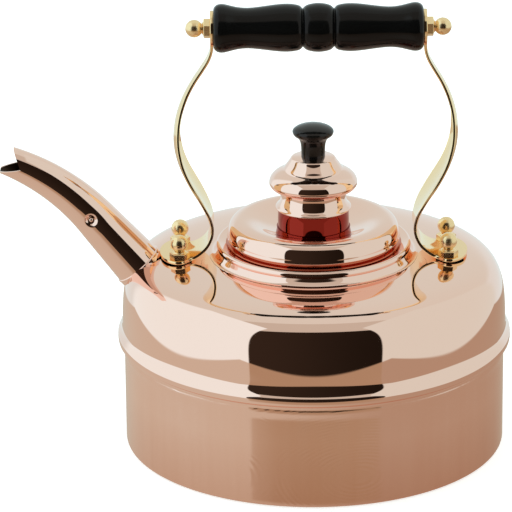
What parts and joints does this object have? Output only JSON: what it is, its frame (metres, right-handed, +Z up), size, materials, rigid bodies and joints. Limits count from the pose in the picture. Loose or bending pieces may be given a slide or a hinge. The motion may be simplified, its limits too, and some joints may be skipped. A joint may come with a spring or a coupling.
{
  "type": "stovetop whistling kettle",
  "caption": "Squat round stovetop whistling kettle of copper, with a curved beaked spout, lift-off lid with a turret and knob, and a handle of brass straps and a black grip.",
  "frame": {"origin": "centre of the base, on the surface the kettle stands on", "axes": "+Z up; the spout points along -X; spout, handle and lid lie in the XZ plane"},
  "size_m": [0.2664, 0.2064, 0.2376],
  "materials": {
    "copper": "mirror-polished copper",
    "pan_copper": "satin copper with fine wiping marks",
    "brass": "polished brass",
    "black_gloss": "black gloss moulded knob",
    "black_wood": "turned wood, black gloss lacquer",
    "steel": "plain steel fixings",
    "seal_rubber": "matt sealing rubber"
  },
  "bodies": {
    "kettle": {"base_pan": "pan_copper", "body_shell": "copper", "neck_ring": "copper", "spout": "copper", "spout_ferrule": "copper", "whistle_barrel": "brass", "whistle_rear_disc": "brass", "whistle_front_disc": "brass", "whistle_pins": "copper", "strap_left": "brass", "strap_right": "brass", "grip": "black_wood", "tie_rod": "steel", "grip_ball_nuts": "brass", "foot_ball_nuts": "brass", "foot_studs": "steel", "foot_seals": "seal_rubber", "backing_plates": "brass"},
    "lid": {"lid_shell": "copper", "lid_skirt": "copper", "turret_spool": "copper", "turret_dome": "copper", "knob": "black_gloss", "knob_screw": "steel", "knob_washer": "steel", "knob_nut": "steel"}
  },
  "joints": [
    {"name": "lid_lift", "type": "slide", "parent": "kettle", "child": "lid", "axis": [0, 0, 1], "range_m": [0, 0.035]}
  ]
}
